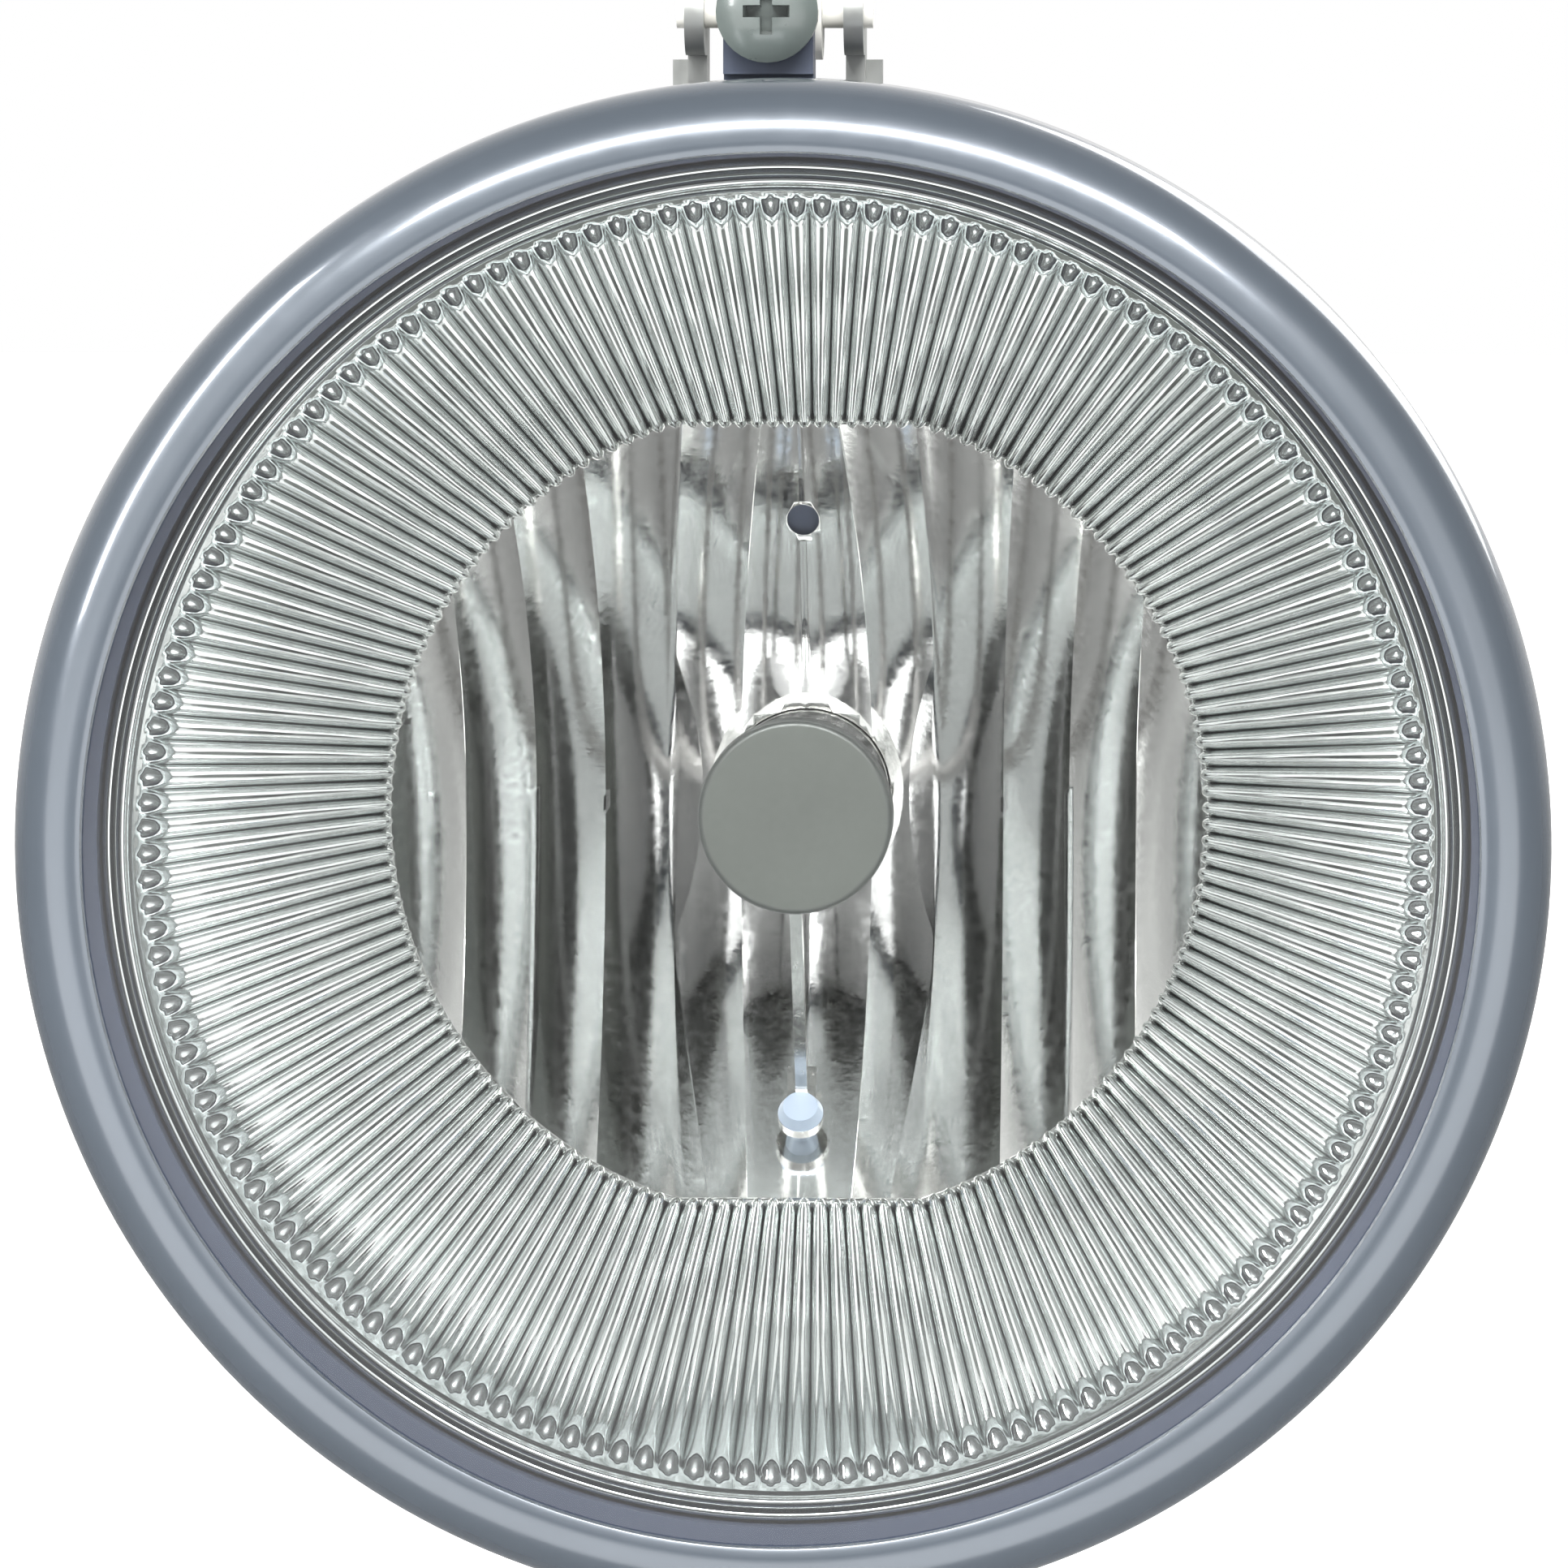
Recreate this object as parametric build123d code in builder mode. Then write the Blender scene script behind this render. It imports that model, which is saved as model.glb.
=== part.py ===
from build123d import *
from math import cos, radians, sin, sqrt
import os

# A round bumper fog lamp on a stud-mounted bracket, with a screw that aims it.
# Millimetres, +Z up, and the lamp shines towards -Y.  The origin is the centre of the four studs,
# on the face of the bracket that meets the vehicle.  The lamp's axis is the Y axis, so most pieces
# are turned about it from profiles drawn in the XY plane as (radius, y).

# ---- Driving dimensions ----
# Lens
lamp_diameter = 100.0
lens_wall = 2.5
lens_dome_radius = 187.0
lens_edge_rise = 6.95  # from the plane of its widest ring to the edge of the dome
lens_bead_width = 4.8  # the raised ring round the edge of the dome
lens_bead_step = 0.5
lens_shoulder_radius = 4.3
lens_skirt_wall = 2.6
lens_skirt_depth = 6.0
seal_thickness = 0.8

# Housing
housing_wall = 2.2
collar_gap = 0.3  # between the collar and the lens skirt round it
collar_reach = 8.0  # how far the collar stands ahead of the flange
collar_chamfer = 0.8
flange_thickness = 2.0
flange_set_in = 0.4
inner_gap = 1.2  # between the housing and the bezel and reflector inside it
waist_step = 3.2  # how much wider the waist is than the bowl behind it, at least
shoulder_width = 9.1  # from the collar in to the waist, at most
neck_wall = 2.0
neck_length = 13.5
vent_height = 27.0
vent_spigot_radius = 2.6
vent_spigot_bore = 1.4
vent_spigot_length = 13.0
vent_wall = 1.5
vent_bend_radius = 5.0
vent_tail = 4.0

# Bezel
bezel_gap = 0.15
bezel_wall = 1.2
bezel_ring_width = 2.05  # the plain stepped rings outside the flutes
bezel_ring_step = 0.7
aperture_radius = 27.75
aperture_half_height = 26.45  # the aperture is cut flat at its top and bottom
aperture_depth = 24.0  # behind the lens's widest ring

# Reflector
reflector_margin = 0.45  # how much wider its mouth is than the aperture
reflector_focus = 13.0
reflector_wall = 2.0
reflector_flange_width = 3.2
reflector_flange_thickness = 1.4
reflector_hole_gap = 0.4  # round the bulb's collar
reflector_seat_step = 0.25  # how much wider its seat is than the bore of the housing's neck
reflector_seat_width = 1.5
reflector_seat_height = 0.2
sight_hole_height = 19.4
sight_hole_radius = 1.1

# Bulb shield
cap_gap = 0.9  # round the glass
cap_length = 3.2
cap_wall = 0.5
cap_corner = 0.7
cap_to_glass = 1.8  # from the cap's face to the tip of the glass
strap_thickness = 0.8
strap_width = 2.0
strap_grip = 2.4
foot_radius = 1.6
foot_lift = 0.25
rivet_drop = 21.9  # below the lamp's axis
rivet_radius = 0.9
rivet_head_radius = 1.57
rivet_head_height = 0.8
rivet_tail_height = 0.6
rivet_slack = 0.4

# Bulb
plug_radius = 10.0
plug_gap = 0.35
plug_front_gap = 0.8  # behind the reflector
lug_count = 3
lug_height = 1.8
lug_thickness = 2.0
lug_angle = 24.0
lug_gap = 0.4
slot_clearance_angle = 6.0
twist_to_unlock = 40.0
groove_depth_in = 6.0  # from the front of the plug to the front of the lugs
o_ring_section = 1.6
o_ring_setback = 1.6
bulb_flange_width = 4.2
bulb_flange_thickness = 2.0
bulb_flange_gap = 0.3
bulb_collar_wall = 0.6
glass_radius = 5.2
glass_wall = 0.8
glass_reach = 5.2  # from the filament to the tip
pinch_length = 3.0
filament_radius = 0.6
filament_length = 4.6
lead_radius = 0.35
lead_root = 4.0  # how deep the lead wires reach into the plug
socket_width = 15.0
socket_depth = 10.0
socket_drop = 25.0
socket_wall = 1.4
socket_well = 13.0
blade_thickness = 0.8
blade_width = 2.8
blade_spacing = 5.4
blade_length = 14.0
blade_recess = 3.0  # from the mouth of the socket to the tips

# Bracket
sheet = 1.8
ring_width = 7.5
ring_gap = 2.4  # round the waist of the housing
stud_count = 4
stud_radius = 2.5
stud_length = 14.0
stud_head_radius = 3.6
stud_head_height = 0.8
stud_knurl = 0.4  # how much wider the stud is inside the sheet
stud_chamfer = 0.6
arm_edge = 1.0  # round the bush
arm_set_in = 0.5
boss_relief = 1.0
post_offset = 5.3
post_depth = 3.6
post_ear_radius = 2.9
post_rise = 3.2  # how far the posts' feet rise past the ring
post_thickness = 1.3
post_foot_width = 2.4

# Pivots
pivot_y = -6.0
boss_radius = 3.8
boss_gap = 0.1
boss_root = 1.0  # how far the boss reaches into the waist
pivot_shoulder_radius = 2.5
pivot_gap = 0.05
bush_wall = 0.65
bush_flange_width = 1.2
bush_flange_thickness = 0.6
pivot_thread_radius = 1.8
pivot_thread_length = 5.0
pivot_head_overlap = 1.1  # how much wider the head is than the shoulder
pivot_head_height = 1.9
pivot_head_taper = 0.65
hex_across_flats = 3.0
hex_depth = 1.1

# Adjuster
aim_angle = 3.0  # either way
adjuster_x = -1.2
adjuster_rise = 4.3  # above the lens
column_width = 5.9
column_depth = 3.8
eye_thickness = 3.9
eye_overhang = 1.0
eye_foot_gap = 0.2  # above the lens
screw_head_radius = 3.35
screw_head_height = 2.9
screw_dome = 1.3
neck_radius = 1.9
neck_gap = 0.06
washer_thickness = 0.5
washer_radius = 2.9
screw_radius = 2.0
screw_gap = 0.2  # takes up the arc that the column swings through
recess_width = 0.95
recess_length = 3.7
recess_depth = 1.5
clip_radius = 3.0
clip_thickness = 0.8
clip_gap = 0.1
clip_mouth = 2.6
clip_groove_depth = 0.3
nut_radius = 3.2
nut_width = 6.4
nut_pin_radius = 1.1
nut_pin_gap = 0.06
nut_pin_reach = 0.6
travel_gap = 0.4
screw_tail = 9.0
screw_point = 1.0

# ---- Derived sizes: radii from the lens inwards ----
lens_radius = lamp_diameter / 2
skirt_inner_radius = lens_radius - lens_skirt_wall
collar_radius = skirt_inner_radius - collar_gap
collar_inner_radius = collar_radius - housing_wall
bezel_radius = collar_inner_radius - bezel_gap
flute_radius = bezel_radius - bezel_ring_width
bulb_collar_radius = glass_radius + bulb_collar_wall
reflector_hole_radius = bulb_collar_radius + reflector_hole_gap
cap_radius = glass_radius + cap_gap + cap_wall
neck_bore_radius = plug_radius + plug_gap
reflector_seat_inner = neck_bore_radius + reflector_seat_step
mouth_radius = aperture_radius + reflector_margin
reflector_radius = mouth_radius + reflector_flange_width
bowl_inner_radius = reflector_radius + inner_gap
bowl_radius = bowl_inner_radius + housing_wall
waist_radius = max(bowl_radius + waist_step, collar_radius - shoulder_width)
ring_inner_radius = waist_radius + ring_gap
ring_radius = ring_inner_radius + ring_width
stud_circle_radius = (ring_inner_radius + ring_radius) / 2
stud_knurl_radius = stud_radius + stud_knurl

# ---- Derived places along Y, from the pivot forwards and then back into the lamp ----
adjuster_z = lens_radius + adjuster_rise
aim_travel = adjuster_z * sin(radians(aim_angle))
clip_rear_y = pivot_y - nut_radius - aim_travel - travel_gap
eye_rear_y = clip_rear_y - clip_thickness - clip_gap
eye_front_y = eye_rear_y - eye_thickness
flange_front_y = eye_front_y + eye_overhang
flange_rear_y = flange_front_y + flange_thickness
skirt_rear_y = flange_front_y - seal_thickness
rim_y = skirt_rear_y - lens_skirt_depth
bead_inner_radius = lens_radius - lens_bead_width
lens_sag = lens_dome_radius - sqrt(lens_dome_radius**2 - bead_inner_radius**2)
lens_front_y = rim_y - lens_edge_rise - lens_sag
collar_front_y = flange_front_y - collar_reach
waist_y = -sheet - inner_gap
aperture_y = rim_y + aperture_depth
mouth_y = aperture_y + bezel_wall
reflector_apex_y = mouth_y + mouth_radius**2 / (4 * reflector_focus)
filament_y = reflector_apex_y - reflector_focus
glass_tip_y = filament_y - glass_reach
cap_front_y = glass_tip_y - cap_to_glass
cap_rear_y = cap_front_y + cap_length


def reflector_y(radius):
    """The polished face of the reflector at a radius."""
    return reflector_apex_y - radius**2 / (4 * reflector_focus)


def dome_y(radius, front_y, dome_radius):
    """A dome's face at a radius, where its middle is at front_y."""
    return front_y + dome_radius - sqrt(dome_radius**2 - radius**2)


reflector_rear_y = reflector_y(reflector_hole_radius) + reflector_wall
seat_outer_radius = reflector_seat_inner + reflector_seat_width
seat_y = reflector_y(reflector_seat_inner) + reflector_wall + reflector_seat_height
lug_radius = plug_radius + lug_height
groove_radius = lug_radius + lug_gap
neck_radius_outer = groove_radius + neck_wall
neck_rear_y = seat_y + neck_length
plug_front_y = reflector_rear_y + plug_front_gap
lug_front_y = plug_front_y + groove_depth_in
lug_rear_y = lug_front_y + lug_thickness
bulb_flange_front_y = neck_rear_y + bulb_flange_gap
bulb_flange_rear_y = bulb_flange_front_y + bulb_flange_thickness

# The pivots lie along X at pivot_y, outside the ring's inner edge.
arm_outer_x = ring_radius - arm_set_in
arm_inner_x = arm_outer_x - sheet
bush_inner_x = arm_inner_x - bush_flange_thickness
boss_x = bush_inner_x - boss_gap
bush_outer_x = arm_outer_x + boss_gap
pivot_head_x = bush_outer_x + boss_gap
bush_bore_radius = pivot_shoulder_radius + pivot_gap
bush_radius = bush_bore_radius + bush_wall
arm_width = 2 * (bush_radius + arm_edge)
pivot_head_radius = pivot_shoulder_radius + pivot_head_overlap

# Places on the column and the posts
column_foot_z = collar_radius - housing_wall
column_top_z = adjuster_z - clip_radius - clip_gap
eye_foot_z = lens_radius + eye_foot_gap
washer_front_y = eye_front_y - washer_thickness
head_front_y = washer_front_y - screw_head_height
screw_end_y = pivot_y + nut_radius + aim_travel + screw_tail
clip_bed_radius = neck_radius - clip_groove_depth
post_inner = post_offset - post_thickness / 2
pin_half_length = post_inner + post_thickness + nut_pin_reach
post_foot_z = ring_radius - ring_width / 2
post_foot_top_z = ring_radius + post_rise
boss_length = boss_x - waist_radius + boss_root
lug_pitch = 360 / lug_count
slot_angle = lug_angle + slot_clearance_angle
slot_radius = lug_radius + lug_gap / 2

# Places in the bulb
o_ring_front_y = plug_front_y + o_ring_setback
o_ring_bed_radius = neck_bore_radius - o_ring_section
bulb_flange_radius = plug_radius + bulb_flange_width
glass_inner_radius = glass_radius - glass_wall
lead_x = filament_length / 2
socket_middle_y = bulb_flange_rear_y + socket_depth / 2

# The rivet's plane lies on the reflector, facing into it.
slope = rivet_drop / (2 * reflector_focus)
rivet_foot = Vector(0, reflector_y(rivet_drop), -rivet_drop)
rivet_normal = Vector(0, -1, slope).normalized()
rivet_plane = Plane(origin=rivet_foot, x_dir=(1, 0, 0), z_dir=rivet_normal)
rivet_grip = reflector_wall / sqrt(1 + slope**2) + rivet_slack
along_foot = Vector(0, slope, 1).normalized()
leg_offset = rivet_head_radius + strap_width / 2 + foot_lift
leg_end = rivet_foot + rivet_normal * (foot_lift + strap_thickness / 2) + along_foot * leg_offset
leg_rear = leg_end + along_foot * (strap_width / 2)
leg_front = leg_end - along_foot * (strap_width / 2)


def sector(inner_radius, outer_radius, middle_angle, width_angle):
    """A sector of a ring, whose middle_angle is measured from +X towards +Z."""
    steps = (-0.5, 0, 0.5)
    inner, outer = (
        [Vector(radius, 0).rotate(Axis.Z, middle_angle + step * width_angle) for step in steps]
        for radius in (inner_radius, outer_radius)
    )
    with BuildSketch() as shape:
        with BuildLine():
            ThreePointArc(*outer)
            ThreePointArc(*inner)
            Line(inner[0], outer[0])
            Line(inner[2], outer[2])
        make_face()
    return shape.sketch


def outline(*points, plane=Plane.XY):
    """A closed outline of straight sides.  On the XY plane its points are (radius, y)."""
    with BuildSketch(plane) as shape:
        with BuildLine():
            Polyline(*points, close=True)
        make_face()
    return shape.sketch


def facing_y(y):
    """The plane across the lamp's axis at y, drawn on as (x, z), whose extrusions go towards -Y."""
    return Plane.XZ.offset(-y)


# ---- Lens ----
half_turn_in = 1 - cos(radians(45))
bead_y = dome_y(bead_inner_radius, lens_front_y, lens_dome_radius)
bead_front_y = bead_y - lens_bead_step
inner_dome_radius = lens_dome_radius - lens_wall
inner_front_y = lens_front_y + lens_wall
inner_shoulder = lens_shoulder_radius - lens_skirt_wall
inner_edge_radius = skirt_inner_radius - inner_shoulder
inner_edge_y = dome_y(inner_edge_radius, inner_front_y, inner_dome_radius)
half_bead = bead_inner_radius / 2
with BuildPart() as lens:
    with BuildSketch(Plane.XY):
        with BuildLine():
            ThreePointArc(
                (0, lens_front_y),
                (half_bead, dome_y(half_bead, lens_front_y, lens_dome_radius)),
                (bead_inner_radius, bead_y),
            )
            Polyline(
                (bead_inner_radius, bead_y),
                (bead_inner_radius + lens_bead_step / 2, bead_front_y),
                (lens_radius - lens_shoulder_radius, bead_front_y),
            )
            ThreePointArc(
                (lens_radius - lens_shoulder_radius, bead_front_y),
                (
                    lens_radius - lens_shoulder_radius * half_turn_in,
                    bead_front_y + lens_shoulder_radius * half_turn_in,
                ),
                (lens_radius, bead_front_y + lens_shoulder_radius),
            )
            Polyline(
                (lens_radius, bead_front_y + lens_shoulder_radius),
                (lens_radius, skirt_rear_y),
                (skirt_inner_radius, skirt_rear_y),
                (skirt_inner_radius, inner_edge_y + inner_shoulder),
            )
            ThreePointArc(
                (skirt_inner_radius, inner_edge_y + inner_shoulder),
                (
                    skirt_inner_radius - inner_shoulder * half_turn_in,
                    inner_edge_y + inner_shoulder * half_turn_in,
                ),
                (inner_edge_radius, inner_edge_y),
            )
            ThreePointArc(
                (inner_edge_radius, inner_edge_y),
                (half_bead, dome_y(half_bead, inner_front_y, inner_dome_radius)),
                (0, inner_front_y),
            )
            Line((0, inner_front_y), (0, lens_front_y))
        make_face()
    revolve(axis=Axis.Y)
lens.part.label = "lens"

# ---- Lens seal ----
with BuildPart() as lens_seal:
    seal_profile = outline(
        (skirt_inner_radius, skirt_rear_y),
        (lens_radius - flange_set_in, skirt_rear_y),
        (lens_radius - flange_set_in, flange_front_y),
        (skirt_inner_radius, flange_front_y),
    )
    revolve(seal_profile, axis=Axis.Y)
lens_seal.part.label = "lens_seal"

# ---- Housing ----
bowl_rear_y = mouth_y + reflector_flange_thickness + inner_gap
cone_inner_y = seat_y - 2 * housing_wall
cone_inner_radius = (
    sqrt(4 * reflector_focus * (reflector_apex_y + reflector_wall - cone_inner_y)) + inner_gap
)
cone_outer_radius = cone_inner_radius + housing_wall
cone_front_radius = bowl_radius - collar_chamfer
cone_rear_y = seat_y - housing_wall
cone_slope = (cone_rear_y - bowl_rear_y) / (cone_front_radius - cone_outer_radius)
vent_y = bowl_rear_y + cone_slope * (cone_front_radius - vent_height)
spigot_tip_y = vent_y + vent_spigot_length
sleeve_y = vent_y + cone_slope * (vent_spigot_radius + vent_wall) + inner_gap
with BuildPart() as housing:
    shell_profile = outline(
        (collar_inner_radius, collar_front_y),
        (collar_radius - collar_chamfer, collar_front_y),
        (collar_radius, collar_front_y + collar_chamfer),
        (collar_radius, flange_front_y),
        (lens_radius - flange_set_in, flange_front_y),
        (lens_radius - flange_set_in, flange_rear_y),
        (collar_radius - collar_chamfer, flange_rear_y),
        (waist_radius, waist_y),
        (bowl_radius, mouth_y),
        (cone_front_radius, bowl_rear_y),
        (cone_outer_radius, cone_rear_y),
        (neck_radius_outer, seat_y + housing_wall),
        (neck_radius_outer, neck_rear_y),
        (neck_bore_radius, neck_rear_y),
        (neck_bore_radius, seat_y),
        (seat_outer_radius, seat_y),
        (cone_inner_radius, cone_inner_y),
        (bowl_inner_radius - collar_chamfer, bowl_rear_y),
        (bowl_inner_radius, mouth_y),
        (waist_radius - housing_wall, waist_y),
        (collar_inner_radius, flange_rear_y - housing_wall),
    )
    revolve(shell_profile, axis=Axis.Y)
    # Pivot bosses, one each side, with their blind holes
    for side in (-1, 1):
        with BuildSketch(Plane.YZ.offset(side * boss_x)):
            with Locations((pivot_y, 0)):
                Circle(boss_radius)
        extrude(amount=-side * boss_length)
        with BuildSketch(Plane.YZ.offset(side * boss_x)):
            with Locations((pivot_y, 0)):
                Circle(pivot_thread_radius)
        extrude(amount=-side * pivot_thread_length, mode=Mode.SUBTRACT)
    # The adjuster's column and its eye
    with BuildSketch(facing_y(flange_front_y)):
        with Locations((adjuster_x, (column_foot_z + column_top_z) / 2)):
            Rectangle(column_width, column_top_z - column_foot_z)
    extrude(amount=-column_depth)
    with BuildSketch(facing_y(eye_front_y)):
        with Locations((adjuster_x, adjuster_z)):
            Circle(column_width / 2)
        with Locations((adjuster_x, (eye_foot_z + adjuster_z) / 2)):
            Rectangle(column_width, adjuster_z - eye_foot_z)
    extrude(amount=-eye_thickness)
    with BuildSketch(facing_y(eye_front_y)):
        with Locations((adjuster_x, adjuster_z)):
            Circle(neck_radius + neck_gap)
    extrude(amount=-eye_thickness, mode=Mode.SUBTRACT)
    # The bayonet: a groove round the neck's bore, and a slot into it for each lug
    with BuildSketch(facing_y(lug_front_y - lug_gap)):
        Circle(groove_radius)
    extrude(amount=-(lug_thickness + 2 * lug_gap), mode=Mode.SUBTRACT)
    with BuildSketch(facing_y(lug_rear_y)):
        for index in range(lug_count):
            add(sector(plug_radius - 1, slot_radius, index * lug_pitch + twist_to_unlock, slot_angle))
    extrude(amount=-(neck_rear_y - lug_rear_y), mode=Mode.SUBTRACT)
    # The breather spigot
    with BuildSketch(facing_y(spigot_tip_y)):
        with Locations((0, vent_height)):
            Circle(vent_spigot_radius)
    extrude(amount=vent_spigot_length + housing_wall)
    with BuildSketch(facing_y(spigot_tip_y)):
        with Locations((0, vent_height)):
            Circle(vent_spigot_bore)
    extrude(amount=vent_spigot_length + 3 * housing_wall, mode=Mode.SUBTRACT)
housing.part.label = "housing"

# ---- Vent elbow ----
bend_y = spigot_tip_y + vent_tail
vent_outlet_y = bend_y + vent_bend_radius
with BuildPart() as vent_elbow:
    with BuildLine(Plane.XY.offset(vent_height)) as vent_path:
        Line((0, sleeve_y), (0, bend_y))
        TangentArc((0, bend_y), (-vent_bend_radius, vent_outlet_y), tangent=(0, 1))
        Line((-vent_bend_radius, vent_outlet_y), (-vent_bend_radius - vent_tail, vent_outlet_y))
    with BuildSketch(facing_y(sleeve_y)):
        with Locations((0, vent_height)):
            Circle(vent_spigot_radius + vent_wall)
    sweep(path=vent_path.line)
    with BuildSketch(facing_y(sleeve_y)):
        with Locations((0, vent_height)):
            Circle(vent_spigot_bore)
    sweep(path=vent_path.line, mode=Mode.SUBTRACT)
    with BuildSketch(facing_y(sleeve_y)):
        with Locations((0, vent_height)):
            Circle(vent_spigot_radius)
    extrude(amount=-(spigot_tip_y - sleeve_y), mode=Mode.SUBTRACT)
vent_elbow.part.label = "vent_elbow"

# ---- Fluted bezel ----
with BuildPart() as fluted_bezel:
    bezel_profile = outline(
        (aperture_radius, aperture_y),
        (flute_radius, rim_y),
        (flute_radius + bezel_ring_step / 2, rim_y - bezel_ring_step),
        (flute_radius + bezel_ring_step * 1.5, rim_y - bezel_ring_step),
        (flute_radius + bezel_ring_step * 2, rim_y),
        (bezel_radius, rim_y),
        (bezel_radius, rim_y + bezel_wall),
        (flute_radius + bezel_wall, rim_y + bezel_wall),
        (aperture_radius + bezel_wall, mouth_y),
        (aperture_radius, mouth_y),
    )
    revolve(bezel_profile, axis=Axis.Y)
    # The flat pieces that close the aperture's top and bottom
    with BuildSketch(facing_y(aperture_y)):
        Circle(aperture_radius + bezel_wall / 2)
        Rectangle(4 * aperture_radius, 2 * aperture_half_height, mode=Mode.SUBTRACT)
    extrude(amount=-bezel_wall)
fluted_bezel.part.label = "fluted_bezel"

# ---- Reflector ----
half_mouth = (mouth_radius + reflector_hole_radius) / 2
with BuildPart() as reflector:
    with BuildSketch(Plane.XY):
        with BuildLine():
            ThreePointArc(
                (reflector_hole_radius, reflector_y(reflector_hole_radius)),
                (half_mouth, reflector_y(half_mouth)),
                (mouth_radius, mouth_y),
            )
            Polyline(
                (mouth_radius, mouth_y),
                (reflector_radius, mouth_y),
                (reflector_radius, mouth_y + reflector_flange_thickness),
                (mouth_radius, mouth_y + reflector_wall),
            )
            ThreePointArc(
                (mouth_radius, mouth_y + reflector_wall),
                (half_mouth, reflector_y(half_mouth) + reflector_wall),
                (reflector_hole_radius, reflector_rear_y),
            )
            Line(
                (reflector_hole_radius, reflector_rear_y),
                (reflector_hole_radius, reflector_y(reflector_hole_radius)),
            )
        make_face()
    revolve(axis=Axis.Y)
    # The ring that seats in the housing
    seat_profile = outline(
        (reflector_seat_inner, reflector_y(reflector_seat_inner) + reflector_wall / 2),
        (seat_outer_radius, reflector_y(seat_outer_radius) + reflector_wall / 2),
        (seat_outer_radius, seat_y),
        (reflector_seat_inner, seat_y),
    )
    revolve(seat_profile, axis=Axis.Y)
    # The sight hole above the bulb, and the rivet's hole below it
    with BuildSketch(facing_y(mouth_y)):
        with Locations((0, sight_hole_height)):
            Circle(sight_hole_radius)
    extrude(amount=-(reflector_rear_y - mouth_y), mode=Mode.SUBTRACT)
    with BuildSketch(rivet_plane.offset(-2 * reflector_wall)):
        Circle(rivet_radius)
    extrude(amount=4 * reflector_wall, mode=Mode.SUBTRACT)
reflector.part.label = "reflector"

# ---- Bulb shield: cap, strap and rivet ----
with BuildPart() as shield_cap:
    cap_profile = outline(
        (0, cap_front_y),
        (cap_radius - cap_corner, cap_front_y),
        (cap_radius - cap_corner * half_turn_in, cap_front_y + cap_corner * half_turn_in),
        (cap_radius, cap_front_y + cap_corner),
        (cap_radius, cap_rear_y),
        (cap_radius - cap_wall, cap_rear_y),
        (cap_radius - cap_wall, cap_front_y + cap_corner),
        (cap_radius - cap_corner, cap_front_y + cap_wall),
        (0, cap_front_y + cap_wall),
    )
    revolve(cap_profile, axis=Axis.Y)
shield_cap.part.label = "shield_cap"

with BuildPart() as shield_strap:
    leg = outline(
        (cap_rear_y - strap_grip, -cap_radius),
        (cap_rear_y, -cap_radius),
        (leg_rear.Y, leg_rear.Z),
        (leg_front.Y, leg_front.Z),
        plane=Plane.YZ,
    )
    extrude(leg, amount=strap_thickness / 2, both=True)
    with BuildSketch(rivet_plane.offset(foot_lift)):
        Circle(foot_radius)
        with Locations((0, leg_offset / 2)):
            Rectangle(strap_width, leg_offset + strap_width)
    extrude(amount=strap_thickness)
    with BuildSketch(rivet_plane.offset(foot_lift)):
        Circle(rivet_radius)
    extrude(amount=strap_width, mode=Mode.SUBTRACT)
shield_strap.part.label = "shield_strap"

with BuildPart() as shield_rivet:
    with BuildSketch(rivet_plane.offset(foot_lift + strap_thickness)):
        Circle(rivet_head_radius)
    extrude(amount=rivet_head_height, taper=25)
    with BuildSketch(rivet_plane.offset(foot_lift + strap_thickness)):
        Circle(rivet_radius)
    extrude(amount=-(foot_lift + strap_thickness + rivet_grip))
    with BuildSketch(rivet_plane.offset(-rivet_grip)):
        Circle(rivet_head_radius)
    extrude(amount=-rivet_tail_height)
shield_rivet.part.label = "shield_rivet"

# ---- Bulb ----
with BuildPart() as blade_pair:
    with BuildSketch(Plane.XY.offset(blade_recess - socket_drop)):
        with Locations((0, socket_middle_y)):
            with GridLocations(blade_spacing, 1, 2, 1):
                Rectangle(blade_thickness, blade_width)
    extrude(amount=blade_length)
blades = blade_pair.part

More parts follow.
